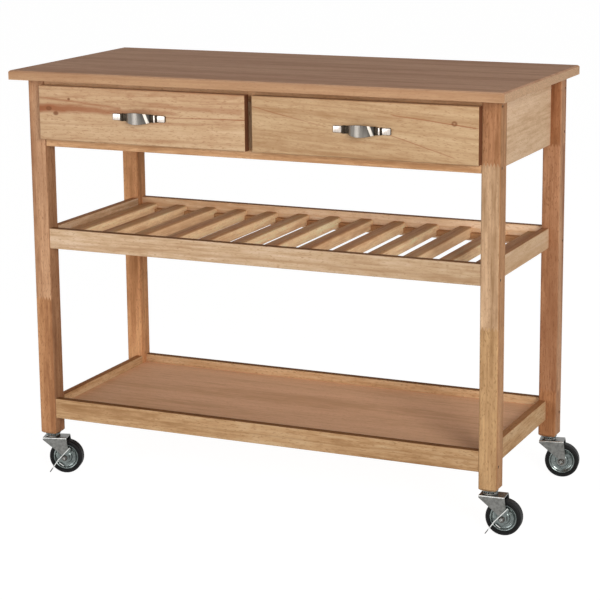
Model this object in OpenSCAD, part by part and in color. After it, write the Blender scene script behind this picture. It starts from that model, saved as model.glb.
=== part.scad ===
// Rolling kitchen cart in solid rubberwood: worktop, two drawers, slatted shelf, flat shelf, four casters.
// X runs left to right seen from the front, Y front to back, Z up from the floor.
// The origin lies on the floor under the middle of the cart, with the right-hand casters trailing
// out past the worktop as they stand.

/* [Worktop] */
// Width of the worktop, left to right
top_w = 1118; // [900:1:1300]
// Depth of the worktop, front to back
top_d = 508; // [440:1:640]
// Thickness of the worktop
top_t = 20; // [15:1:32]
// Height of the worktop's surface above the floor
top_z = 914; // [860:1:960]
// Overhang of the worktop in front of the legs
over_front = 43; // [36:1:60]
// Overhang of the worktop behind the legs
over_rear = 21; // [5:1:40]
// Overhang of the worktop beside the legs
over_side = 21; // [5:1:40]
// Width of the eased arris round the worktop's surface
top_ease = 3; // [0.5:0.5:4]

/* [Legs] */
// Side of the square leg
leg_w = 40; // [34:1:50]
// Radius of the leg's long edges
leg_r = 4; // [1:0.5:6]
// Chamfer round the leg's foot
foot_ch = 4.5; // [1:0.5:7]

/* [Rails and case] */
// Thickness of the rails and of the case's side and back boards
board_t = 17; // [14:1:20]
// Radius of the rails' long edges
board_r = 2; // [0.5:0.5:4]
// Set-back of the front and rear rails from the leg's face
rail_set = 3; // [0:0.5:5]
// Height of the case, from the lower rail's underside to the worktop
case_h = 148; // [130:1:170]
// Height of the rail above the drawers
rail_up_h = 28; // [22:1:32]
// Height of the rail below the drawers
rail_low_h = 24; // [20:1:30]
// Thickness of the partition between the drawers
part_t = 20; // [12:1:22]

/* [Shelves] */
// Height of the shelf rails
shelf_h = 45; // [42:1:55]
// Underside of the slatted shelf's rails above the floor
slat_z = 519; // [460:1:560]
// Underside of the lower shelf's rails above the floor
base_z = 131; // [120:1:180]
// Depth of the slats' surface below the rails' top edges
slat_lip = 13; // [11:1:16]
// Depth of the lower shelf's surface below the rails' top edges
base_lip = 18; // [12:1:20]
// Number of slats
slat_n = 13; // [9:1:14]
// Width of a slat
slat_w = 35; // [28:1:46]
// Thickness of a slat
slat_t = 22; // [14:1:24]
// Radius of a slat's upper edges
slat_r = 8; // [1:0.5:9]
// Height of the notch that sits over the bearer at a slat's end
slat_notch = 10; // [6:0.5:12]
// Gap between the first slat and the side rail
slat_end = 6; // [4:1:20]
// Thickness of the lower shelf's panel
panel_t = 12; // [9:1:14]
// Depth of the bearers under the slats and the panel
bearer_d = 15; // [12:1:20]
// Height of the slat bearers' undersides above the rails' undersides
bearer_up = 7.5; // [4:0.5:9]

/* [Drawers] */
// Width of the gap between the two drawer fronts
front_gap = 15; // [8:1:20]
// Height of a drawer front
front_h = 117; // [110:1:122]
// Thickness of a drawer front
front_t = 18; // [15:1:20]
// Radius round the drawer front's face
front_r = 3; // [1:0.5:6]
// Height of the drawer front's lower edge above the case's underside
front_up = 18.5; // [16:0.5:22]
// Overlap of the drawer front on the leg
front_lap = 2; // [0:0.5:5]
// Space between a closed drawer front and the leg's face
front_off = 1.5; // [1:0.25:3]
// Height of a drawer's sides
box_h = 76; // [60:1:80]
// Length of a drawer's sides
box_l = 368; // [355:1:378]
// Thickness of a drawer's sides and back
box_t = 12; // [10:1:15]
// Thickness of a drawer's bottom
bottom_t = 4; // [3:0.5:6]
// Depth of the groove that holds the bottom
groove_d = 5; // [3:0.5:7]

/* [Runners] */
// Length of a drawer runner
run_l = 350; // [320:1:360]
// Space for a runner between the drawer's side and the case
run_gap = 12.7; // [12:0.1:14]
// Height of the runner's channel
run_h = 32; // [28:1:36]
// Thickness of the runner's steel
run_t = 1.2; // [1:0.1:1.5]
// Depth of the runner's channel
run_d = 10.7; // [9:0.1:11]
// Width of the flange that runs on the rollers
flange_w = 9.5; // [8.5:0.1:10]
// Height of the runner's plate on the drawer above its flange
plate_up = 12; // [8:0.5:16]
// Radius of a runner's roller
roller_r = 8; // [6:0.5:8.5]
// Width of a roller
roller_w = 6.5; // [5:0.1:6.8]
// Distance of a roller's centre from the runner's end
roller_in = 14; // [11:0.5:20]
// Radius of a roller's pin
pin_r = 2; // [1.5:0.1:2.5]

/* [Handles] */
// Length of a handle
handle_l = 125; // [115:1:150]
// Distance between a handle's screws
handle_pitch = 96; // [90:1:104]
// Length of a handle's flat end
tab_l = 19; // [17.5:0.5:24]
// Height of a handle's flat end
tab_h = 14; // [12:0.5:17]
// Thickness of a handle's flat end
tab_t = 4; // [3:0.5:5]
// Length of the arch between the handle's ridges
arch_l = 58; // [54:1:70]
// Height of the arch at its middle
arch_h = 25; // [20:1:32]
// Reach of the arch from the drawer front
arch_out = 22; // [18:0.5:23]
// Thickness of the arch
arch_t = 2.5; // [2:0.25:4]

/* [Casters] */
// Diameter of a caster's wheel
wheel_d = 75; // [65:1:80]
// Width of the tyre
tyre_w = 24; // [20:1:26]
// Thickness of the tyre
tyre_t = 9; // [6:0.5:11]
// Height of the leg's foot above the floor
foot_z = 93; // [90:1:105]
// Trail of the wheel behind the swivel axis
trail = 30; // [22:1:34]
// Thickness of the fork's steel
fork_t = 2.5; // [2:0.25:3]
// Radius of the axle bolt
axle_r = 4; // [3:0.5:5]
// Radius of the caster's stem
stem_r = 5; // [4:0.5:6]
// Length of the stem inside the leg
stem_l = 32; // [20:1:45]
// Turn of the front left caster
turn_fl = 16; // [-180:1:180]
// Turn of the front right caster
turn_fr = 4; // [-180:1:180]
// Turn of the rear left caster
turn_rl = 8; // [-180:1:180]
// Turn of the rear right caster
turn_rr = 10; // [-180:1:180]

/* [Brakes] */
// Length of the brake lever above its bend
lever_up = 37; // [28:1:40]
// Length of the brake lever's toe below its bend
lever_toe = 38; // [24:1:40]
// Reach of the lever's flange from its plate
lever_w = 11; // [8:1:14]
// Thickness of the lever's steel
lever_t = 1.8; // [1.5:0.1:2.5]

/* [Screws] */
// Radius of a frame bolt's head
bolt_head_r = 3.4; // [3:0.1:5]
// Radius of a frame bolt's shank
bolt_r = 2.4; // [2:0.1:2.8]
// Depth of a frame bolt's head below the leg's face
bolt_sink = 3; // [0:0.5:8]
// Length of a frame bolt
bolt_l = 62; // [50:1:80]
// Height of the shelf bolts above the rails' undersides
bolt_up = 14; // [10:1:30]
// Distance of the rear bolts from the back board's edges
bolt_edge = 27; // [15:1:40]
// Radius of a wood screw's shank
screw_r = 1.75; // [1.5:0.05:2.2]
// Length of a wood screw
screw_l = 21; // [17:0.5:24]
// Radius of a dowel
dowel_r = 4; // [3:0.5:4.5]
// Length of a dowel
dowel_l = 30; // [20:1:36]
// Distance of the outer dowels from the side board's edges
dowel_edge = 25; // [12:1:40]
// Depth of the rear dowels in the worktop
dowel_up = 10; // [6:0.5:12]

/* [Hidden] */
$fn = 48;
wood_fit = 0.05;   // glued and screwed joints
slide_fit = 0.3;   // between pieces that move past each other
run_fit = 0.06;    // a pin that turns in its bore
slat_fit = 0.5;    // slats and panel between their rails
eps = 1;           // cuts run past the face by this much

// Frame: faces of the legs
leg_x = top_w/2 - over_side;
leg_f = -top_d/2 + over_front;
leg_b = top_d/2 - over_rear;
in_x = leg_x - leg_w;
in_f = leg_f + leg_w;
in_b = leg_b - leg_w;
leg_cx = leg_x - leg_w/2;
leg_cf = leg_f + leg_w/2;
leg_cb = leg_b - leg_w/2;
leg_top = top_z - top_t;

// Rails: outer and inner faces of the front and rear boards
rail_f = leg_f + rail_set;
rail_fi = rail_f + board_t;
rail_b = leg_b - rail_set;
rail_bi = rail_b - board_t;
case_z = leg_top - case_h;

// Shelf surfaces
slat_top = slat_z + shelf_h - slat_lip;
panel_top = base_z + shelf_h - base_lip;
bearer_z = slat_z + bearer_up;
slat_bearer_h = slat_top - slat_t + slat_notch - bearer_z;
base_bearer_h = shelf_h - base_lip - panel_t;
slat_pitch = (2*in_x - 2*slat_end - slat_w)/(slat_n - 1);

// Drawers: each one mirrored about the partition
front_x0 = front_gap/2;
front_x1 = in_x + front_lap;
front_cx = (front_x0 + front_x1)/2;
front_z = case_z + front_up;
front_cz = front_z + front_h/2;
front_b = leg_f - front_off;
front_f = front_b - front_t;
bay_x0 = part_t/2;
box_x0 = bay_x0 + run_gap;
box_x1 = in_x - run_gap;
bay_z = case_z + rail_low_h;
bay_h = case_h - rail_low_h - rail_up_h;
box_z = bay_z + (bay_h - box_h)/2;
box_b = front_b + box_l;
bottom_z = box_z + 8;

// Runners: channel on the case, angle on the drawer
run_low = 22;           // the runners lie this much below the bay's middle
run_z = bay_z + (bay_h - run_h)/2 - run_low;
run_back = 6;           // behind the front rails
run_f = rail_fi + run_back;
run_b = run_f + run_l;
roller_up = 3;          // the case roller stands this much above the channel's floor
case_roller_z = run_z + run_t + roller_up + roller_r;
flange_z = case_roller_z + roller_r + slide_fit;
box_roller_z = run_z + run_t + slide_fit + roller_r;
roller_gap = 0.8;       // between a roller and the steel behind it

// Handle
ridge_l = (handle_l - arch_l)/2 - tab_l + 0.5;
ridge_h = tab_h + 2;
ridge_t = tab_t + 3;
handle_screw_r = 1.95;

// Casters
wheel_r = wheel_d/2;
rim_r = wheel_r - tyre_t;
boss_w = tyre_w + 7.4;
fork_in = boss_w/2 + slide_fit;
fork_out = fork_in + fork_t;
race_h = 3.2;
cup_h = 6;
cup_r = 17;
race_r = 15;
fork_top = foot_z - cup_h - slide_fit - race_h;
plate_z = fork_top - fork_t;
tip_r = 9.5;
tyre_edge = 3.2;
hub_web = 13;
cap_w = 22;
cap_r = 13;
fork_f = 20;
fork_r = trail + 4;
head_r = 6.5;
head_h = 4;
brake_in = fork_out + slide_fit;
brake_out = brake_in + lever_t;

// Middle of the cart between the worktop's left edge and the outermost right-hand tyre
function reach(turn) = cos(turn)*(trail + wheel_r - tyre_edge) + abs(sin(turn))*(tyre_w/2 - tyre_edge) + tyre_edge;
mid_x = (max(top_w/2, leg_cx + reach(turn_fr), leg_cx + reach(turn_rr)) - top_w/2)/2;

LEGS = [["fl", -1, leg_cf, turn_fl], ["fr", 1, leg_cf, turn_fr],
        ["rl", -1, leg_cb, turn_rl], ["rr", 1, leg_cb, turn_rr]];

LIGHT = [0.82, 0.66, 0.48];
RED = [0.72, 0.53, 0.38];
TOP = [0.60, 0.46, 0.38];
STEEL = [0.66, 0.67, 0.66];
NICKEL = [0.74, 0.72, 0.68];
RUBBER = [0.10, 0.10, 0.11];
COAT = [0.36, 0.28, 0.22];

// Basic shapes

// Puts the middle of the cart at the origin
module in_frame() {
    translate([-mid_x, 0, 0]) children();
}

// A box from its low corner to its high corner
module block(lo, hi) {
    translate(lo) cube(hi - lo);
}

// A rectangle with round corners, centred
module round_rect(w, d, r) {
    square([w - 2*r, d], center = true);
    square([w, d - 2*r], center = true);
    for (x = [-1, 1], y = [-1, 1])
        translate([x*(w/2 - r), y*(d/2 - r)]) circle(r);
}

// A board along X whose long edges are round
module board_x(lo, hi, r) {
    translate([lo.x, (lo.y + hi.y)/2, (lo.z + hi.z)/2]) rotate([90, 0, 90])
        linear_extrude(hi.x - lo.x) round_rect(hi.y - lo.y, hi.z - lo.z, r);
}

// A board along Y whose long edges are round
module board_y(lo, hi, r) {
    translate([(lo.x + hi.x)/2, hi.y, (lo.z + hi.z)/2]) rotate([90, 0, 0])
        linear_extrude(hi.y - lo.y) round_rect(hi.x - lo.x, hi.z - lo.z, r);
}

// A rod along X from x0 to x1
module rod_x(x0, x1, y, z, r) {
    translate([x0, y, z]) rotate([0, 90, 0]) cylinder(h = x1 - x0, r = r);
}

// A rod along Y from y0 to y1
module rod_y(x, y0, y1, z, r) {
    translate([x, y0, z]) rotate([-90, 0, 0]) cylinder(h = y1 - y0, r = r);
}

// Countersunk wood screw with its head at the bottom, point up; grow makes its hole
module wood_screw(grow = 0) {
    rotate_extrude()
        polygon([[0, -grow], [2*screw_r + grow, -grow], [2*screw_r + grow, 0.4], [screw_r + grow, 2.2],
                 [screw_r + grow, screw_l - 3 + grow], [0, screw_l + grow]]);
}

// Joints of the frame

// Heights of the frame bolts at the front and at the rear
function bolts_z(front) = front
    ? [leg_top - rail_up_h/2, case_z + rail_low_h/2, slat_z + bolt_up, base_z + bolt_up]
    : [leg_top - bolt_edge, case_z + bolt_edge, slat_z + bolt_up, base_z + bolt_up];

function rail_cy(front) = front ? rail_f + board_t/2 : rail_b - board_t/2;

// One frame bolt at the right-hand side, driven inwards from the leg's outer face
module frame_bolt(y, z, grow = 0) {
    rod_x(leg_x - bolt_sink - 4, grow > 0 ? leg_x + eps : leg_x - bolt_sink, y, z, bolt_head_r + grow);
    rod_x(leg_x - bolt_l - grow, leg_x - bolt_sink - 3, y, z, bolt_r + grow);
}

module all_frame_bolts(grow = 0) {
    for (s = [0, 1], front = [true, false], z = bolts_z(front))
        mirror([s, 0, 0]) frame_bolt(rail_cy(front), z, grow);
}

// Heights of the dowels between the legs and the side boards
dowels_z = [leg_top - dowel_edge, leg_top - case_h/2, case_z + dowel_edge,
            slat_z + shelf_h/2, base_z + shelf_h/2];

module all_dowels(grow = 0) {
    for (s = [-1, 1], y = [in_f, in_b], z = dowels_z)
        rod_y(s*(in_x + board_t/2), y - dowel_l/2 - grow, y + dowel_l/2 + grow, z, dowel_r + grow);
    for (x = top_fix) translate([x*in_x, rail_cy(false), leg_top + dowel_up - dowel_l - grow])
        cylinder(h = dowel_l + 2*grow, r = dowel_r + grow);
}

// Places along the worktop's fixings, as parts of half the inner width
top_fix = [-0.8, -0.35, 0.35, 0.8];

function slat_x(i) = -in_x + slat_end + slat_w/2 + i*slat_pitch;

// Screws up through the bearers into the slats, and through the upper rails into the worktop
module all_wood_screws(grow = 0) {
    for (i = [0 : slat_n - 1], y = [rail_fi + bearer_d/2, rail_bi - bearer_d/2])
        translate([slat_x(i), y, bearer_z]) wood_screw(grow);
    for (x = top_fix)
        translate([x*in_x, rail_cy(true), leg_top - 12]) wood_screw(grow);
}

// Access holes under the worktop screws
module screw_pockets() {
    for (x = top_fix)
        translate([x*in_x, rail_cy(true), leg_top - 12 - rail_up_h])
            cylinder(h = rail_up_h, r = 2*screw_r + wood_fit);
}

// Fixed wood pieces

module worktop() {
    color(TOP) in_frame() difference() {
        block([-top_w/2, -top_d/2, leg_top], [top_w/2, top_d/2, top_z]);
        all_wood_screws(wood_fit);
        all_dowels(wood_fit);
        for (a = [0, 180]) rotate([0, 0, a]) {
            translate([0, top_d/2, top_z]) rotate([45, 0, 0])
                cube([top_w + 2*eps, top_ease*sqrt(2), top_ease*sqrt(2)], center = true);
            translate([top_w/2, 0, top_z]) rotate([0, 45, 0])
                cube([top_ease*sqrt(2), top_d + 2*eps, top_ease*sqrt(2)], center = true);
        }
    }
}

// A leg at one corner: sx and sy are -1 or 1
module leg(sx, sy) {
    cx = sx*leg_cx;
    cy = sy < 0 ? leg_cf : leg_cb;
    color(RED) in_frame() difference() {
        translate([cx, cy, foot_z]) difference() {
            linear_extrude(leg_top - foot_z) round_rect(leg_w, leg_w, leg_r);
            for (a = [0, 90, 180, 270]) rotate([0, 0, a]) translate([leg_w/2, 0, 0]) rotate([0, 45, 0])
                cube([foot_ch*sqrt(2), leg_w + 2*eps, foot_ch*sqrt(2)], center = true);
        }
        translate([cx, cy, foot_z - eps]) cylinder(h = stem_l + 2 + eps, r = stem_r + wood_fit);
        all_frame_bolts(wood_fit);
        all_dowels(wood_fit);
    }
}

// A board between the left and right legs
module cross_board(front, z0, z1) {
    y0 = front ? rail_f : rail_bi;
    color(LIGHT) in_frame() difference() {
        board_x([-in_x, y0, z0], [in_x, y0 + board_t, z1], board_r);
        all_frame_bolts(wood_fit);
        if (z1 == leg_top && front) {
            all_wood_screws(wood_fit);
            screw_pockets();
        }
        if (z1 == leg_top && !front) all_dowels(wood_fit);
    }
}

// A board between the front and rear legs
module side_board(s, z0, z1) {
    x0 = s < 0 ? -in_x - board_t : in_x;
    color(LIGHT) in_frame() difference() {
        board_y([x0, in_f, z0], [x0 + board_t, in_b, z1], board_r);
        all_dowels(wood_fit);
    }
}

// Board between the drawers, notched round the front rails
module case_partition() {
    color(RED) in_frame() translate([-part_t/2, 0, 0]) rotate([90, 0, 90]) linear_extrude(part_t)
        polygon([[rail_f, bay_z], [rail_fi, bay_z], [rail_fi, case_z], [rail_bi, case_z], [rail_bi, leg_top],
                 [rail_fi, leg_top], [rail_fi, leg_top - rail_up_h], [rail_f, leg_top - rail_up_h]]);
}

module bearers(z, h) {
    for (y = [rail_fi, rail_bi - bearer_d])
        block([-in_x, y, z], [in_x, y + bearer_d, z + h]);
}

module slat_bearers() {
    color(RED) in_frame() difference() {
        bearers(bearer_z, slat_bearer_h);
        all_wood_screws(wood_fit);
    }
}

module base_bearers() {
    color(RED) in_frame() bearers(base_z, base_bearer_h);
}

// Slats run front to back with their upper edges rounded, notched over the bearers at both ends
module slats() {
    color(RED) in_frame() difference() {
        for (i = [0 : slat_n - 1])
            translate([slat_x(i), rail_bi - slat_fit, slat_top - slat_t]) rotate([90, 0, 0])
                linear_extrude(rail_bi - rail_fi - 2*slat_fit) slat_profile();
        for (y = [rail_fi - eps, rail_bi - bearer_d - slat_fit])
            block([-in_x, y, slat_top - slat_t - eps],
                  [in_x, y + bearer_d + slat_fit + eps, slat_top - slat_t + slat_notch]);
        all_wood_screws(wood_fit);
    }
}

module slat_profile() {
    translate([-slat_w/2, 0]) square([slat_w, slat_t - slat_r]);
    translate([-slat_w/2 + slat_r, 0]) square([slat_w - 2*slat_r, slat_t]);
    for (s = [-1, 1]) translate([s*(slat_w/2 - slat_r), slat_t - slat_r]) circle(slat_r);
}

module base_panel() {
    color(TOP) in_frame() block([-in_x + slat_fit, rail_fi + slat_fit, panel_top - panel_t],
                     [in_x - slat_fit, rail_bi - slat_fit, panel_top]);
}

// Fasteners of the frame

module frame_bolts() {
    color(STEEL) in_frame() all_frame_bolts();
}

module wood_screws() {
    color(STEEL) in_frame() all_wood_screws();
}

module dowels() {
    color(LIGHT) in_frame() all_dowels();
}

// Runners: drawn for the drawer side at x = 0 with the case wall at x = run_gap

module runner_case() {
    difference() {
        block([run_gap - run_d, run_f, run_z], [run_gap, run_b, run_z + run_h]);
        block([run_gap - run_d - eps, run_f - eps, run_z + run_t],
              [run_gap - run_t, run_b + eps, run_z + run_h - run_t]);
    }
    rod_x(run_gap - run_t - roller_gap - roller_w, run_gap - run_t, run_f + roller_in, case_roller_z, pin_r);
}

module runner_case_roller() {
    difference() {
        rod_x(run_gap - run_t - roller_gap - roller_w, run_gap - run_t - roller_gap,
              run_f + roller_in, case_roller_z, roller_r);
        rod_x(0, run_gap, run_f + roller_in, case_roller_z, pin_r + run_fit);
    }
}

module runner_box() {
    block([0, run_f, box_roller_z - roller_r + run_t], [run_t, run_b, flange_z + plate_up]);
    block([0, run_f, flange_z], [flange_w, run_b - 2*roller_r - roller_in, flange_z + run_t]);
    rod_x(run_t, run_t + roller_gap + roller_w, run_b - roller_in, box_roller_z, pin_r);
}

module runner_box_roller() {
    difference() {
        rod_x(run_t + roller_gap, run_t + roller_gap + roller_w, run_b - roller_in, box_roller_z, roller_r);
        rod_x(0, run_gap, run_b - roller_in, box_roller_z, pin_r + run_fit);
    }
}

// Places a right-hand runner at both sides of one drawer; s is -1 for the left drawer
module at_runners(s) {
    mirror([s < 0 ? 1 : 0, 0, 0]) {
        translate([box_x1, 0, 0]) children();
        translate([box_x0, 0, 0]) mirror([1, 0, 0]) children();
    }
}

module case_runners() {
    color(COAT) in_frame() for (s = [-1, 1]) at_runners(s) {
        runner_case();
        runner_case_roller();
    }
}

module drawer_runners(s) {
    color(COAT) in_frame() at_runners(s) {
        runner_box();
        runner_box_roller();
    }
}

// Drawers, drawn at the right and mirrored for the left

module for_side(s) {
    mirror([s < 0 ? 1 : 0, 0, 0]) children();
}

module bottom_board(grow = 0) {
    block([box_x0 + box_t - groove_d - grow, front_b - groove_d - grow, bottom_z - grow],
          [box_x1 - box_t + groove_d + grow, box_b + (grow > 0 ? eps : -1), bottom_z + bottom_t + grow]);
}

module drawer_front(s) {
    color(LIGHT) in_frame() for_side(s) difference() {
        intersection() {
            board_x([front_x0, front_f, front_z], [front_x1, front_b + front_r, front_z + front_h], front_r);
            translate([(front_x0 + front_x1)/2, (front_f + front_b + front_r)/2, front_z])
                linear_extrude(front_h) round_rect(front_x1 - front_x0, front_t + front_r, front_r);
            block([front_x0, front_f, front_z], [front_x1, front_b, front_z + front_h]);
        }
        bottom_board(wood_fit);
        handle_screws_at(wood_fit);
    }
}

module drawer_sides(s) {
    color(LIGHT) in_frame() for_side(s) difference() {
        for (x = [box_x0, box_x1 - box_t])
            block([x, front_b, box_z], [x + box_t, box_b, box_z + box_h]);
        bottom_board(wood_fit);
    }
}

module drawer_back(s) {
    color(LIGHT) in_frame() for_side(s)
        block([box_x0 + box_t, box_b - box_t, bottom_z + bottom_t + wood_fit],
              [box_x1 - box_t, box_b, box_z + box_h - 4]);
}

module drawer_bottom(s) {
    color(TOP) in_frame() for_side(s) bottom_board();
}

// Handle: cast strap with flat ends, two ridges and an arched leaf

// Outward reach of the arch's outer face at a distance x from its middle
function arch_y(x) = 4 + (arch_out - 4)*pow(cos(90*min(1, abs(x)/(arch_l/2))), 0.62);

// Half height of the leaf at a distance x from its middle
function leaf_z(x) = ridge_h/2 + (arch_h - ridge_h)/2*cos(90*min(1, abs(x)/(arch_l/2)));

arch_x = [for (i = [-16 : 16]) arch_l/2*sin(90*i/16)];

module handle() {
    for (s = [-1, 1]) {
        difference() {
            translate([s*(handle_l - tab_l)/2, -tab_t, 0]) rotate([-90, 0, 0])
                linear_extrude(tab_t) round_rect(tab_l, tab_h, 2.5);
            rod_y(s*handle_pitch/2, -tab_t + 1, eps, 0, handle_screw_r + wood_fit);
        }
        translate([s*(arch_l/2 + ridge_l/2 - 0.5), 0, 0]) linear_extrude(ridge_h, center = true)
            intersection() {
                translate([-ridge_l/2 - 1.5, -ridge_t]) square([ridge_l + 3, ridge_t]);
                translate([0, -ridge_t + ridge_l/2 + 1.5]) union() {
                    circle(ridge_l/2 + 1.5);
                    translate([-ridge_l/2 - 1.5, 0]) square([ridge_l + 3, ridge_t]);
                }
            }
    }
    intersection() {
        linear_extrude(arch_h + 2*eps, center = true) polygon(concat(
            [[-arch_l/2, -1]], [for (x = arch_x) [x, -arch_y(x)]], [[arch_l/2, -1], [arch_l/2 - arch_t, -1]],
            [for (i = [32 : -1 : 0]) [arch_x[i]*(1 - 2*arch_t/arch_l), arch_t - arch_y(arch_x[i])]],
            [[arch_t - arch_l/2, -1]]));
        rotate([-90, 0, 0]) translate([0, 0, -arch_out - eps]) linear_extrude(arch_out + 2*eps) polygon(concat(
            [for (x = arch_x) [x, leaf_z(x)]],
            [for (i = [32 : -1 : 0]) [arch_x[i], -leaf_z(arch_x[i])]]));
    }
}

module at_handle(s) {
    translate([s*front_cx, front_f, front_cz]) children();
}

module drawer_handle(s) {
    color(NICKEL) in_frame() at_handle(s) handle();
}

// Pan-head screws from inside the drawer front into the handle's ends
module handle_screws_at(grow = 0) {
    for (x = [-1, 1]) translate([front_cx + x*handle_pitch/2, 0, front_cz]) {
        rod_y(0, front_f - tab_t + 1.5, front_b + 1, 0, handle_screw_r + grow);
        if (grow == 0) rod_y(0, front_b, front_b + 2.2, 0, 2*handle_screw_r);
    }
}

module handle_screws(s) {
    color(STEEL) in_frame() for_side(s) handle_screws_at();
}

// Casters, drawn at the swivel axis with the wheel trailing towards +X and its outer side towards -Y

module caster_stem() {
    translate([0, 0, plate_z - slide_fit - 2.2]) cylinder(h = 2.2, r = 1.6*stem_r);
    translate([0, 0, plate_z - slide_fit - 1]) cylinder(h = foot_z + stem_l - plate_z + slide_fit + 1, r = stem_r);
    translate([0, 0, foot_z - cup_h]) rotate_extrude()
        polygon([[stem_r - 1, 0], [cup_r - 1.5, 0], [cup_r, 1.5], [cup_r, cup_h - 1.5], [cup_r - 1.5, cup_h],
                 [stem_r - 1, cup_h]]);
}

module fork_side() {
    translate([trail, wheel_r]) circle(tip_r);
    polygon([[-fork_f, fork_top], [fork_r, fork_top], [trail + tip_r, wheel_r + 6], [trail + tip_r, wheel_r],
             [trail, wheel_r], [trail - tip_r*cos(40), wheel_r + tip_r*sin(40)], [-fork_f, plate_z - 3]]);
}

module fork() {
    difference() {
        union() {
            block([-fork_f, -fork_out, plate_z], [fork_r, fork_out, fork_top]);
            for (y = [-fork_out, fork_in]) translate([0, y + fork_t, 0]) rotate([90, 0, 0])
                linear_extrude(fork_t) fork_side();
            translate([0, 0, fork_top]) cylinder(h = race_h, r = race_r);
        }
        translate([0, 0, plate_z - eps]) cylinder(h = fork_t + race_h + 2*eps, r = stem_r + run_fit);
        rod_y(trail, -fork_out - eps, fork_out + eps, wheel_r, axle_r + wood_fit);
    }
}

// Bolt through the fork with its head outside and a nut on the far side
module axle(brake) {
    out = brake ? brake_out + slide_fit : fork_out;
    rod_y(trail, -out - 1, fork_out + 6.5, wheel_r, axle_r);
    rod_y(trail, -out - head_h, -out, wheel_r, head_r);
    difference() {
        translate([trail, fork_out, wheel_r]) rotate([-90, 0, 0]) cylinder(h = 5.5, r = 7.2, $fn = 6);
        rod_y(trail, fork_out - eps, fork_out + 7, wheel_r, axle_r + wood_fit);
    }
}

// Wheel centre: boss, dished web and rim
module hub() {
    translate([trail, 0, wheel_r]) rotate([90, 0, 0]) difference() {
        union() {
            rotate_extrude($fn = 96) for (m = [0, 1]) mirror([0, m])
                polygon([[axle_r + run_fit, -0.1], [axle_r + run_fit, boss_w/2], [axle_r + 5.5, boss_w/2],
                         [axle_r + 5.8, cap_w/2], [cap_r, cap_w/2], [cap_r + 1, hub_web/2 + 0.5], [rim_r - 8, hub_web/2],
                         [rim_r - 3, tyre_w/2 - 2.5], [rim_r, tyre_w/2 - 2.5], [rim_r, -0.1]]);
            for (a = [0 : 60 : 300]) rotate([0, 0, a]) translate([rim_r - 10, 0, -hub_web/2 - 1.5])
                cylinder(h = hub_web + 3, r = 2.1);
        }
        translate([0, 0, -boss_w]) cylinder(h = 2*boss_w, r = axle_r + run_fit);
    }
}

module tyre() {
    translate([trail, 0, wheel_r]) rotate([90, 0, 0]) rotate_extrude($fn = 96)
        translate([rim_r + tyre_t/2, 0]) intersection() {
            round_rect(tyre_t, tyre_w, tyre_edge);
            translate([-tyre_t/2, -tyre_w/2]) square([tyre_t, tyre_w]);
        }
}

// Brake lever: plate on the axle bolt with an outward flange that ends in the toe
lever_off = 8.6;       // from the axle's centre to the flange
lever_a = 47;          // slope of the upper flange
toe_a = 55;            // slope of the toe
lever_low = 10;        // part of the upper flange that lies below the axle's foot point
bend_p = [-lever_off*sin(lever_a) - lever_low*cos(lever_a), lever_off*cos(lever_a) - lever_low*sin(lever_a)];
tip_p = bend_p + (lever_up)*[cos(lever_a), sin(lever_a)];
ear_p = [-11, -9.5];    // upper end of the small ear below the plate

module lever_plate() {
    out = lever_t*[-sin(lever_a), cos(lever_a)];
    polygon([bend_p + out, tip_p + out, tip_p + 4*[sin(lever_a), -cos(lever_a)], [8, 6], [8, -5], [2, -13.5],
             ear_p + [1, -1], ear_p, bend_p]);
}

module lever_flange() {
    translate(bend_p) rotate(lever_a) square([lever_up, lever_t]);
    translate(bend_p) rotate(toe_a) translate([-lever_toe, 0]) square([lever_toe + 0.6, lever_t]);
}

module brake() {
    translate([trail, 0, wheel_r]) rotate([90, 0, 0]) difference() {
        union() {
            translate([0, 0, brake_in]) linear_extrude(lever_t) lever_plate();
            translate([0, 0, brake_in]) linear_extrude(lever_w) lever_flange();
            translate([0, 0, brake_in]) linear_extrude(6) translate(ear_p) rotate(-34) square([12, lever_t]);
        }
        translate([0, 0, brake_in - eps]) cylinder(h = lever_t + 2*eps, r = axle_r + run_fit);
    }
}

// Places a caster piece under leg i
module at_caster(i) {
    translate([LEGS[i][1]*leg_cx, LEGS[i][2], 0]) rotate([0, 0, LEGS[i][3]]) children();
}

module caster_stems() {
    color(STEEL) in_frame() for (i = [0 : 3]) at_caster(i) caster_stem();
}

module caster_fork(i) { color(STEEL) in_frame() at_caster(i) fork(); }
module caster_axle(i) { color(STEEL) in_frame() at_caster(i) axle(i < 2); }
module caster_hub(i) { color([0.55, 0.60, 0.58]) in_frame() at_caster(i) hub(); }
module caster_tyre(i) { color(RUBBER) in_frame() at_caster(i) tyre(); }
module caster_brake(i) { color(STEEL) in_frame() at_caster(i) brake(); }

worktop();
leg(-1, -1);  // leg_front_left
leg(1, -1);  // leg_front_right
leg(-1, 1);  // leg_rear_left
leg(1, 1);  // leg_rear_right
side_board(-1, case_z, leg_top);  // case_side_left
side_board(1, case_z, leg_top);  // case_side_right
cross_board(false, case_z, leg_top);  // case_back
cross_board(true, leg_top - rail_up_h, leg_top);  // case_rail_upper
cross_board(true, case_z, bay_z);  // case_rail_lower
case_partition();
cross_board(true, slat_z, slat_z + shelf_h);  // slat_rail_front
cross_board(false, slat_z, slat_z + shelf_h);  // slat_rail_rear
side_board(-1, slat_z, slat_z + shelf_h);  // slat_rail_left
side_board(1, slat_z, slat_z + shelf_h);  // slat_rail_right
slat_bearers();
slats();
cross_board(true, base_z, base_z + shelf_h);  // base_rail_front
cross_board(false, base_z, base_z + shelf_h);  // base_rail_rear
side_board(-1, base_z, base_z + shelf_h);  // base_rail_left
side_board(1, base_z, base_z + shelf_h);  // base_rail_right
base_bearers();
base_panel();
case_runners();
frame_bolts();
wood_screws();
dowels();
caster_stems();
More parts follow.
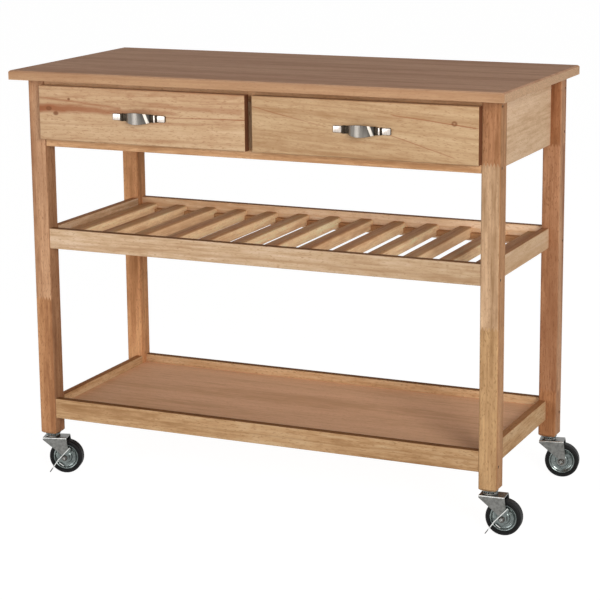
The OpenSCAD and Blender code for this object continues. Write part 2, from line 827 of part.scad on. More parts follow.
drawer_front(-1);  // drawer_front_left
drawer_sides(-1);  // drawer_sides_left
drawer_back(-1);  // drawer_back_left
drawer_bottom(-1);  // drawer_bottom_left
drawer_runners(-1);  // drawer_runners_left
drawer_handle(-1);  // handle_left
handle_screws(-1);  // handle_screws_left
drawer_front(1);  // drawer_front_right
drawer_sides(1);  // drawer_sides_right
drawer_back(1);  // drawer_back_right
drawer_bottom(1);  // drawer_bottom_right
drawer_runners(1);  // drawer_runners_right
drawer_handle(1);  // handle_right
handle_screws(1);  // handle_screws_right
caster_fork(0);  // fork_fl
caster_fork(1);  // fork_fr
caster_fork(2);  // fork_rl
caster_fork(3);  // fork_rr
caster_axle(0);  // axle_fl
caster_axle(1);  // axle_fr
caster_axle(2);  // axle_rl
caster_axle(3);  // axle_rr
caster_hub(0);  // hub_fl
caster_hub(1);  // hub_fr
caster_hub(2);  // hub_rl
caster_hub(3);  // hub_rr
caster_tyre(0);  // tyre_fl
caster_tyre(1);  // tyre_fr
caster_tyre(2);  // tyre_rl
caster_tyre(3);  // tyre_rr
caster_brake(0);  // brake_fl
caster_brake(1);  // brake_fr
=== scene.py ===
# Rolling kitchen cart: looks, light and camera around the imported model
import math
from functools import partial

import bmesh
import bpy
from mathutils import Matrix, Vector


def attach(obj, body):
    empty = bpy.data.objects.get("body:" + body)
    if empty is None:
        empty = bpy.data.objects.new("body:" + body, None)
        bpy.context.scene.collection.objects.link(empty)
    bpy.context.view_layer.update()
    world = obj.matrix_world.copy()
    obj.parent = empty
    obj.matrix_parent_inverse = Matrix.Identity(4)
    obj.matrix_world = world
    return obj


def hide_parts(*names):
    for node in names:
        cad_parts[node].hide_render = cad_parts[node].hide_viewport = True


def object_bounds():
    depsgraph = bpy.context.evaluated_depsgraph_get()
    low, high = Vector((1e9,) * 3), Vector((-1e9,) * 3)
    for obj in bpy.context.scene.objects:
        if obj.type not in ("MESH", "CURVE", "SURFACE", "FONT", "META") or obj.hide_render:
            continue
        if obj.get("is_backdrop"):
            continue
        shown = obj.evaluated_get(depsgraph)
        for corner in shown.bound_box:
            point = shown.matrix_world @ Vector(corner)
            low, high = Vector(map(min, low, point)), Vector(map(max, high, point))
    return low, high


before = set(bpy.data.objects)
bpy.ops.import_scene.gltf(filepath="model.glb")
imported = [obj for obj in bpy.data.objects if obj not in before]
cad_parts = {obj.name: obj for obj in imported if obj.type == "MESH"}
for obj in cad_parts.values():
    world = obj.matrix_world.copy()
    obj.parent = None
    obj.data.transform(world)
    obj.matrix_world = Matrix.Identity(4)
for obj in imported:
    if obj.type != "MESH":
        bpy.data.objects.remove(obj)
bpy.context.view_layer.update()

scene = bpy.context.scene
scene.view_settings.view_transform = "Standard"
mm = 0.001
touching = 1e-5      # metres: closer than this counts as the same place
slack = 0.1          # millimetres of room where faces or points are picked by place

# where things stand in the model, in millimetres
cart = {
    "middle": -13.5256,        # the worktop's middle along X
    # each leg's place, and how many degrees its caster is turned
    "legs": {"fl": (-518, -191, 16), "fr": (518, -191, 4), "rl": (-518, 213, 8), "rr": (518, 213, 10)},
    "trail": 30.0,             # wheel axle behind the swivel axis
    "axleUp": 37.5,
    "frontFace": -230.5,       # drawer front
    "handleOut": 253.75,       # handle's middle from the worktop's middle
    "handleUp": 823.0,
    "legFace": 538.0,          # outer face of the legs
}


# small tools

def linearColour(hexText):
    parts = [int(hexText[i:i + 2], 16) / 255 for i in (1, 3, 5)]
    return tuple(c / 12.92 if c <= 0.04045 else ((c + 0.055) / 1.055) ** 2.4 for c in parts) + (1.0,)


def addNode(tree, kind, inputs=(), stops=(), **settings):
    # the inputs, in order or by name or number, are values, outputs, or nodes whose first output in use is
    # meant; the stops of a colour ramp are places with a grey tone or a colour
    node = tree.nodes.new("ShaderNode" + kind)
    for key, value in settings.items():
        setattr(node, key, value)
    for key, value in inputs.items() if isinstance(inputs, dict) else enumerate(inputs):
        if isinstance(value, bpy.types.Node):
            value = next(output for output in value.outputs if output.enabled)
        if isinstance(value, bpy.types.NodeSocket):
            tree.links.new(value, node.inputs[key])
        else:
            node.inputs[key].default_value = value
    if stops:
        elements = node.color_ramp.elements
        while len(elements) < len(stops):
            elements.new(0.5)
        for element, (place, tone) in zip(elements, stops):
            element.position = place
            element.color = linearColour(tone) if isinstance(tone, str) else (tone, tone, tone, 1)
    return node


def newMaterial(name):
    # an empty material, and the function that adds nodes to it
    material = bpy.data.materials.new(name)
    material.use_nodes = True
    material.node_tree.nodes.clear()
    return material, partial(addNode, material.node_tree)


def pickOnly(*pieces):
    if bpy.context.object and bpy.context.object.mode != "OBJECT":
        leave()
    bpy.ops.object.select_all(action="DESELECT")
    for piece in pieces:
        piece.select_set(True)
    bpy.context.view_layer.objects.active = pieces[0]


def named(name):
    piece = bpy.context.object
    piece.name = name
    piece.data.name = name
    return piece


def settle(piece):
    pickOnly(piece)
    bpy.ops.object.transform_apply(location=True, rotation=True, scale=True)
    return piece


def useModifier(piece, kind, **settings):
    pickOnly(piece)
    modifier = piece.modifiers.new(kind, kind)
    for key, value in settings.items():
        setattr(modifier, key, value)
    bpy.ops.object.modifier_apply(modifier=modifier.name)


def edit(piece, mode="FACE"):
    pickOnly(piece)
    bpy.ops.object.mode_set(mode="EDIT")
    bpy.ops.mesh.select_mode(type=mode)


def leave():
    bpy.ops.object.mode_set(mode="OBJECT")


def pick(test, kind="faces"):
    # selects what passes the test, by place or normal
    mesh = bmesh.from_edit_mesh(bpy.context.object.data)
    bpy.ops.mesh.select_all(action="DESELECT")
    for part in getattr(mesh, kind):
        if test(part):
            part.select_set(True)
    mesh.select_flush_mode()
    bmesh.update_edit_mesh(bpy.context.object.data)


def liesAt(edge, axis, place):
    # whether the whole edge is at this place, in millimetres, along X (0), Y (1) or Z (2)
    return all(abs(v.co[axis] - place * mm) < touching for v in edge.verts)


def bevelPicked(width, segments):
    bpy.ops.mesh.bevel(offset=width * mm, segments=segments, affect="EDGES")


def paintPicked(index):
    # gives the picked faces the material at this place in the piece's list
    bpy.context.object.active_material_index = index
    bpy.ops.object.material_slot_assign()


def softenEdges(piece, width, segments, angle):
    # rounds every edge sharper than the angle
    useModifier(piece, "BEVEL", width=width * mm, segments=segments, limit_method="ANGLE",
        angle_limit=math.radians(angle))


def cleanUp(piece, smooth=35):
    edit(piece)
    bpy.ops.mesh.select_all(action="SELECT")
    bpy.ops.mesh.remove_doubles(threshold=1e-6)
    bpy.ops.mesh.normals_make_consistent(inside=False)
    leave()
    pickOnly(piece)
    bpy.ops.object.shade_smooth_by_angle(angle=math.radians(smooth))
    return piece


def box(name, low, high):
    # a block between two corners in millimetres
    centre = [(a + b) / 2 * mm for a, b in zip(low, high)]
    bpy.ops.mesh.primitive_cube_add(size=1, location=centre)
    piece = named(name)
    piece.scale = [(b - a) * mm for a, b in zip(low, high)]
    return settle(piece)


def drawWire(name, points, closed=True):
    # draws the points, in millimetres, one after another, and stays in edit mode
    bpy.ops.object.select_all(action="DESELECT")
    bpy.ops.mesh.primitive_plane_add(size=mm, location=(0, 0, 0))
    piece = named(name)
    bpy.ops.object.mode_set(mode="EDIT")
    bpy.ops.mesh.select_mode(type="VERT")
    bpy.ops.mesh.select_all(action="SELECT")
    bpy.ops.mesh.merge(type="CENTER")
    at = Vector((0, 0, 0))
    for i, point in enumerate(points):
        goal = Vector(point) * mm
        if i == 0:
            bpy.ops.transform.translate(value=goal - at)
        else:
            bpy.ops.mesh.extrude_region_move(TRANSFORM_OT_translate={"value": goal - at})
        at = goal
    if closed:
        pick(lambda v: len(v.link_edges) == 1, "verts")
        bpy.ops.mesh.edge_face_add()
    bpy.ops.mesh.select_all(action="SELECT")
    return piece


def lathe(name, profile, centre, axis, steps, closed=True):
    # spins a profile of (radius, height) round the axis; on Y the height points to the outer side, -Y
    cx, cy, cz = centre
    if axis == "Z":
        wire = [(cx + r, cy, cz + n) for r, n in profile]
        spindle = (0, 0, 1)
    else:
        wire = [(cx + r, cy - n, cz) for r, n in profile]
        spindle = (0, 1, 0)
    piece = drawWire(name, wire, closed)
    bpy.ops.mesh.spin(steps=steps, angle=math.tau, center=Vector(centre) * mm, axis=spindle)
    leave()
    return cleanUp(piece)


def panelFrom(name, outline, low, high, upright=True):
    # a sheet with its outline in X and Z between two depths or, lying, in X and Y between two heights
    piece = drawWire(name, [(a, low, b) if upright else (a, b, low) for a, b in outline])
    bpy.ops.mesh.edge_face_add()
    rise = (high - low) * mm
    way = (0, rise, 0) if upright else (0, 0, rise)
    bpy.ops.mesh.extrude_region_move(TRANSFORM_OT_translate={"value": way})
    leave()
    return cleanUp(piece)


def joined(name, *pieces):
    pickOnly(*pieces)
    bpy.ops.object.join()
    return named(name)


def merged(name, base, *others):
    # one skin from several closed pieces
    for other in others:
        useModifier(base, "BOOLEAN", operation="UNION", object=other, solver="EXACT")
        bpy.data.objects.remove(other)
    pickOnly(base)
    return named(name)


def cutOut(base, cutter):
    useModifier(base, "BOOLEAN", operation="DIFFERENCE", object=cutter, solver="EXACT")
    bpy.data.objects.remove(cutter)


def bore(base, hole, centre, axis):
    # a round hole: its radius, and where it starts and ends along the axis
    radius, low, high = hole
    outline = [(0, low), (radius, low), (radius, high), (0, high)]
    cutOut(base, lathe("cutter", outline, centre, axis, 32, closed=False))


def copyTo(source, name, matrix):
    piece = bpy.data.objects.new(name, source.data.copy())
    piece.data.name = name
    scene.collection.objects.link(piece)
    piece.data.transform(matrix)
    return piece


def dress(piece, *materials):
    piece.data.materials.clear()
    for material in materials:
        piece.data.materials.append(material)


def dressNode(node, material):
    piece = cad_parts[node]
    if not piece.material_slots:
        piece.data.materials.append(material)
    for held in piece.material_slots:
        held.material = material


print("frame loaded:", len(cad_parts), "nodes")

# camera

cameraSetup = {
    "place": (1724.72, -3816.16, 1391.43),   # mm
    "turn": 0.4252,      # radians to the left of +Y
    "tilt": 0.2074,      # radians below the horizon
    "roll": -0.0094,
    "focal": 117.35, "sensor": 36,           # mm
    "shift": -0.08,
    "farthest": 200,     # m
}
cameraData = bpy.data.cameras.new("camera")
cameraData.lens = cameraSetup["focal"]
cameraData.sensor_width = cameraSetup["sensor"]
cameraData.shift_y = cameraSetup["shift"]
cameraData.clip_end = cameraSetup["farthest"]
camera = bpy.data.objects.new("camera", cameraData)
scene.collection.objects.link(camera)
camera.matrix_world = (
    Matrix.Translation(Vector(cameraSetup["place"]) * mm)
    @ Matrix.Rotation(cameraSetup["turn"], 4, "Z")
    @ Matrix.Rotation(math.pi / 2 - cameraSetup["tilt"], 4, "X")
    @ Matrix.Rotation(cameraSetup["roll"], 4, "Z"))
scene.camera = camera
print("camera placed")

# light, floor and world

lightSetup = {
    # places and sizes in metres, power in watts
    "key": {"place": (3.7, -4.0, 2.1), "size": 2.2, "power": 158, "colour": "#FFFCF8"},
    "fill": {"place": (-2.4, -4.4, 0.9), "size": 3.0, "power": 74, "colour": "#FCFDFF"},
    "aim": (0, 0, 0.5),
    # how bright the studio is from low down, where it is brightest, to overhead, and where that change lies
    "horizon": 0.56, "zenith": 0.2, "changeFrom": 0.1, "changeTo": 0.65,
    "floorColour": "#F4F3F1", "floorRadius": 40,
    # how bright the floor's plain white is to the camera, and its share; the rest shows the shadow
    "glow": 1.16, "whiteShare": 0.82,
    "white": "#FFFFFF",
}


def addLight(name, setup):
    data = bpy.data.lights.new(name, "AREA")
    data.shape = "DISK"
    data.size = setup["size"]
    data.energy = setup["power"]
    data.color = linearColour(setup["colour"])[:3]
    lamp = bpy.data.objects.new(name, data)
    scene.collection.objects.link(lamp)
    place = Vector(setup["place"])
    lamp.location = place
    lamp.rotation_mode = "QUATERNION"
    lamp.rotation_quaternion = (Vector(lightSetup["aim"]) - place).to_track_quat("-Z", "Y")


def seenDirectly(add):
    # 1 for rays from the camera, from a shiny surface or through a clear one, 0 for soft light
    ray = add("LightPath")
    seen = add("Math", [ray.outputs["Is Camera Ray"], ray.outputs["Is Glossy Ray"]], operation="MAXIMUM")
    return add("Math", [seen, ray.outputs["Is Transmission Ray"]], operation="MAXIMUM")


addLight("keyLight", lightSetup["key"])
addLight("fillLight", lightSetup["fill"])
white = linearColour(lightSetup["white"])

world = bpy.data.worlds.new("paleStudio")
world.use_nodes = True
world.node_tree.nodes.clear()
add = partial(addNode, world.node_tree)
seen = seenDirectly(add)
coord = add("TexCoord")
parts = add("SeparateXYZ", [coord.outputs["Generated"]])
level = add("MapRange", {
    "Value": parts.outputs["Z"], "From Min": lightSetup["changeFrom"], "From Max": lightSetup["changeTo"],
    "To Min": lightSetup["horizon"], "To Max": lightSetup["zenith"]})
lit = add("Background", {"Color": white, "Strength": level})
shown = add("Background", {"Color": white, "Strength": 1.0})
mixed = add("MixShader", [seen, lit, shown])
add("OutputWorld", {"Surface": mixed})
scene.world = world

bpy.ops.object.select_all(action="DESELECT")
bpy.ops.mesh.primitive_circle_add(vertices=96, radius=lightSetup["floorRadius"], fill_type="NGON")
floor = named("floor")
floorPaint, add = newMaterial("matt white floor paint")   # rolled emulsion: even, no gloss
seen = seenDirectly(add)
share = add("Math", [seen, lightSetup["whiteShare"]], operation="MULTIPLY")
paint = add("BsdfDiffuse", {"Color": linearColour(lightSetup["floorColour"])})
glow = add("Emission", {"Color": white, "Strength": lightSetup["glow"]})
mixed = add("MixShader", [share, paint, glow])
add("OutputMaterial", {"Surface": mixed})
dress(floor, floorPaint)
floor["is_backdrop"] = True
print("stage set")

# wood

woodSetup = {
    # light streaks, main tone, dark streaks, end grain, and how much the lacquer reflects
    # the drawers' end grain is darker than bare end grain: painted shade on the drawer fronts' end faces,
    # which the lamps light
    "drawer": ("#CFB18C", "#C1A07B", "#A9825D", "#7A4E35", 0.05),
    "drawerRed": ("#D6B894", "#CAA884", "#B08462", "#7A4E35", 0.05),
    "caseRail": ("#E0B78F", "#D3A77E", "#B48760", "#A07650", 0.01),
    "railPale": ("#E3C7AA", "#D4B492", "#B8926F", "#A57C56", 0.004),
    "railSide": ("#EBCFB1", "#DEBE9B", "#C7A07A", "#A57C56", 0.004),
    "railRear": ("#F5D7B8", "#EBC9A4", "#D8AE86", "#A57C56", 0.004),
    "railTan": ("#D6B58E", "#C7A077", "#A77F58", "#96704A", 0.004),
    "side": ("#ECD0B2", "#DFBF9D", "#C6A07C", "#A57C56", 0.01),
    "legPale": ("#EDCAA2", "#CFAB87", "#A78461", "#9A6E4A", 0.02),
    "legTan": ("#E6B281", "#CE966A", "#A6734C", "#9A6A44", 0.02),
    "legRed": ("#DFB28D", "#C39571", "#9C7053", "#8A5C3C", 0.02),
    "top": ("#D5AA8B", "#CA9D80", "#B98B6D", "#DAB492", 0.002),
    "shelf": ("#FACBA6", "#F1C29C", "#DDAD86", "#A57C56", 0.01),
    # painted light: the slats are paler than their wood so that their sides look brightly lit; their tops get
    # painted shade
    "slat": ("#FFF2C9", "#FFDEB3", "#E5BC93", "#9F7453", 0.01),
    "bearer": ("#C39870", "#B48660", "#9E7150", "#8F6345", 0.01),
    "box": ("#DCC09A", "#CFAE86", "#BB956B", "#A9835B", 0.05),
    "heart": "#9C6040", "knot": "#7D4E33",
}
grainSetup = {
    # cells per metre along and across the fibres, detail, distortion
    "band": (1.6, 26, 3.0, 0.6),         # bands about 40 mm wide and 600 mm long
    "mottle": (30, 90, 2.0, 0.0),        # soft patches of about 33 by 11 mm
    "streak": (11, 210, 2.0, 0.2),       # streaks about 5 mm wide
    "pore": (110, 560, 1.0, 0.0),        # open pores, drawn 1.8 mm wide so that they show
    "weights": {"band": 0.8, "mottle": 0.3, "streak": 0.5},    # their parts in the tone
    "toneStops": (0.3, 0.5, 0.7),        # tones of the deep, the main and the pale colour
    # growth rings about 35 mm apart on a flat-sawn face; a high power leaves only a thin line of each
    "ringAcross": 9, "ringStretch": (0.12, 1, 1), "ringPower": 22.0, "ringDepth": 0.45,
    "poreDepth": 0.75, "poreSink": -0.6,
    "staveJump": 0.737,                  # metres between the figures of neighbouring staves
    "tintJump": (5, 5, 5),               # metres between the figures of fully different tints
    "fingerWide": 0.0035, "fingerSlope": 2.6,     # finger joints: half their pitch in metres, length by width
    "endDots": 520.0,                    # pores per metre on end grain
    "shineSwing": 0.14,                  # how much the streaks change the roughness
    "wanderScale": 9.0,                  # waves per metre in a dark streak's path
    # masks, as places and tones: pores in their noise, faces by how far they look along the fibres or to the
    # side that gets painted shade, dots on end grain, a dark streak or a knot from its middle outwards, and
    # the length of a streak
    "poreStops": ((0.58, 0.0), (0.7, 1.0)), "endStops": ((0.7, 0.0), (0.85, 1.0)),
    "shadeFaceStops": ((0.55, 0.0), (0.8, 1.0)), "dotStops": ((0.38, 0.72), (0.6, 1.0)),
    "markStops": ((0.3, 1.0), (1.0, 0.0)), "knotStops": ((0.45, 0.8), (0.65, 0.7), (1.0, 0.0)),
    "markEnds": ((0.0, 0.0), (0.04, 1.0), (0.96, 1.0), (1.0, 0.0)),
}

# settings of a Mix node for colours, whose inputs 6 and 7 are the two colours
over = {"data_type": "RGBA"}
tinted = {"data_type": "RGBA", "blend_type": "MULTIPLY"}


def fibreNoise(add, vector, kind):
    # noise stretched along the fibres
    along, across, detail, distortion = grainSetup[kind]
    place = add("Mapping", {"Vector": vector, "Scale": (along, across, across)})
    return add("TexNoise", {"Vector": place, "Scale": 1.0, "Detail": detail, "Roughness": 0.55,
        "Distortion": distortion})


def markMask(add, where, mark):
    # darker streak along the board: its two ends in X, then at each end height, half width and strength,
    # and how far it wanders
    (x0, x1), heights, halves, strengths, swing = mark
    parts = add("SeparateXYZ", [where])

    def alongBoard(first, last):
        return add("MapRange", {"Value": parts.outputs["X"], "From Min": x0, "From Max": x1,
            "To Min": first, "To Max": last})

    wander = add("TexNoise", {"Vector": where, "Scale": grainSetup["wanderScale"], "Detail": 3.0})
    height = add("Math", [wander, swing, parts.outputs["Z"]], operation="MULTIPLY_ADD")
    off = add("Math", [height, alongBoard(*[h + swing / 2 for h in heights])], operation="SUBTRACT")
    far = add("Math", [off], operation="ABSOLUTE")
    ratio = add("Math", [far, alongBoard(*halves)], operation="DIVIDE")
    mask = add("ValToRGB", {"Fac": ratio}, grainSetup["markStops"])
    ends = add("ValToRGB", {"Fac": alongBoard(0, 1)}, grainSetup["markEnds"])
    shown = add("Math", [mask, ends], operation="MULTIPLY")
    return add("Math", [shown, alongBoard(*strengths)], operation="MULTIPLY")


def knotMask(add, where, knot):
    # x, z, half length and half height of a pin knot on a front face, in metres, and how dark its middle is
    x, z, wide, high, core = knot
    off = add("VectorMath", [where, (x, 0, z)], operation="SUBTRACT")
    scaled = add("VectorMath", [off, (1 / wide, 0, 1 / high)], operation="MULTIPLY")
    far = add("VectorMath", [scaled], operation="LENGTH")
    return add("ValToRGB", {"Fac": far}, ((0.1, core), *grainSetup["knotStops"]))


def makeRubberwood(name, colours, grain, start, figure, gloss=0.46, tilt=0.0, paintedShadeByFace=None, staves=0,
        lengths=(), marks=(), knots=(), paintedShadeFade=None):
    # planed hevea boards under satin lacquer: straight streaks, short dark pores, faint flame figure
    g = grainSetup
    pale, body, deep, end, lacquer = colours
    material, add = newMaterial(name)
    coord = add("TexCoord")
    where = coord.outputs["Object"]
    normal = coord.outputs["Normal"]
    turn = {"x": (0, tilt, 0), "y": (0, 0, -math.pi / 2), "z": (0, math.pi / 2 + tilt, 0)}[grain]
    along = add("Mapping", {"Vector": where, "Rotation": turn, "Location": start})
    if staves:
        # boards edge-glued side by side: each starts its figure somewhere else
        parts = add("SeparateXYZ", [along])
        count = add("Math", [parts.outputs["Y"], 1 / staves], operation="MULTIPLY")
        index = add("Math", [count], operation="FLOOR")
        jump = add("Math", [index, g["staveJump"]], operation="MULTIPLY")
        moved = add("Math", [parts.outputs["X"], jump], operation="ADD")
        lift = add("Math", [parts.outputs["Z"], jump], operation="ADD")
        along = add("CombineXYZ", [moved, parts.outputs["Y"], lift])
    if lengths:
        # finger-jointed stock: from each height another tint and another figure
        parts = add("SeparateXYZ", [where])
        across = add("Math", [parts.outputs["Y"], parts.outputs["X"]], operation="ADD")
        fingers = add("Math", [across, g["fingerWide"]], operation="PINGPONG")
        upTo = add("Math", [fingers, g["fingerSlope"], parts.outputs["Z"]], operation="MULTIPLY_ADD")
        tints = add("ValToRGB", {"Fac": upTo}, lengths)
        tints.color_ramp.interpolation = "CONSTANT"
        along = add("VectorMath", [tints, g["tintJump"], along], operation="MULTIPLY_ADD")
    noise = {kind: fibreNoise(add, along, kind) for kind in ("band", "mottle", "streak", "pore")}
    tone = 0.5 - figure * sum(g["weights"].values()) / 2         # the noises are about 0.5 on average
    for kind, weight in g["weights"].items():
        tone = add("Math", [noise[kind], weight * figure, tone], operation="MULTIPLY_ADD")
    skin = add("ValToRGB", {"Fac": tone}, [*zip(g["toneStops"], (deep, body, pale))])
    dark = linearColour(deep)
    # late wood: a thin darker line at each growth ring
    ringPlace = add("Mapping", {"Vector": along, "Scale": g["ringStretch"]})
    rings = add("TexWave", {"Vector": ringPlace, "Scale": g["ringAcross"], "Distortion": 4.5, "Detail": 2.0,
        "Detail Scale": 0.9, "Detail Roughness": 0.5},
        wave_type="BANDS", bands_direction="Z" if grain == "x" else "Y", wave_profile="SIN")
    line = add("Math", [rings.outputs["Fac"], g["ringPower"]], operation="POWER")
    share = add("Math", [line, g["ringDepth"] * figure], operation="MULTIPLY")
    skin = add("Mix", {"Factor": share, 6: skin, 7: dark}, **over)
    poreMask = add("ValToRGB", {"Fac": noise["pore"]}, g["poreStops"])
    share = add("Math", [poreMask, g["poreDepth"]], operation="MULTIPLY")
    skin = add("Mix", {"Factor": share, 6: skin, 7: dark}, **over)
    plain = skin
    if lengths:
        skin = add("Mix", {"Factor": 1.0, 6: skin, 7: tints}, **tinted)
    if paintedShadeFade:
        # painted shade: a slow darkening of the board towards one end: the axis, where it starts and ends,
        # the tint at its end
        axis, first, last, tint = paintedShadeFade
        place = add("SeparateXYZ", [where]).outputs[axis]
        done = add("MapRange", {"Value": place, "From Min": first, "From Max": last})
        shadeTinted = add("Mix", {"Factor": 1.0, 6: skin, 7: linearColour(tint)}, **tinted)
        skin = add("Mix", {"Factor": done, 6: skin, 7: shadeTinted}, **over)
    for maskFrom, spots, part in ((markMask, marks, "heart"), (knotMask, knots, "knot")):
        spotTone = linearColour(woodSetup[part])
        for spot in spots:
            mask = maskFrom(add, where, spot)
            skin = add("Mix", {"Factor": mask, 6: skin, 7: spotTone}, **over)
    # end grain where the face looks along the fibres
    fibres = {"x": (1, 0, 0), "y": (0, 1, 0), "z": (0, 0, 1)}[grain]
    facing = add("VectorMath", [normal, fibres], operation="DOT_PRODUCT")
    flat = add("Math", [facing], operation="ABSOLUTE")
    isEnd = add("ValToRGB", {"Fac": flat}, g["endStops"])
    dots = add("TexNoise", {"Vector": where, "Scale": g["endDots"], "Detail": 2.0})
    dotTone = add("ValToRGB", {"Fac": dots}, g["dotStops"])
    sawn = add("Mix", {"Factor": 1.0, 6: dotTone, 7: linearColour(end)}, **tinted)
    skin = add("Mix", {"Factor": isEnd, 6: skin, 7: sawn}, **over)
    if paintedShadeByFace:
        # painted shade: the faces that look this way are tinted to stand for the light and shade that falls
        # on them: (direction, tint)
        direction, tint = paintedShadeByFace
        toward = add("VectorMath", [normal, direction], operation="DOT_PRODUCT")
        inPaintedShade = add("ValToRGB", {"Fac": toward}, g["shadeFaceStops"])
        shadeTinted = add("Mix", {"Factor": 1.0, 6: plain, 7: linearColour(tint)}, **tinted)
        skin = add("Mix", {"Factor": inPaintedShade, 6: skin, 7: shadeTinted}, **over)
    shine = add("Math", [noise["streak"], g["shineSwing"], gloss - g["shineSwing"] / 2],
        operation="MULTIPLY_ADD")
    height = add("Math", [poreMask, g["poreSink"], noise["streak"]], operation="MULTIPLY_ADD")
    bump = add("Bump", {"Height": height, "Strength": 0.16, "Distance": 0.0004})
    shader = add("BsdfPrincipled", {"Base Color": skin, "Roughness": shine, "Normal": bump, "IOR": 1.5,
        "Specular IOR Level": lacquer})
    add("OutputMaterial", {"Surface": shader})
    return material


shelfTopPaintedShade = ((0, 0, 1), "#A8917C")       # painted shade: the shelf rails' upper faces are darker, as if little light reached them
sideRailTopPaintedShade = ((0, 0, 1), "#D2B49E")        # painted shade on the side rails' upper faces, lighter than on the shelf rails so they stay nearer the wood's own tan

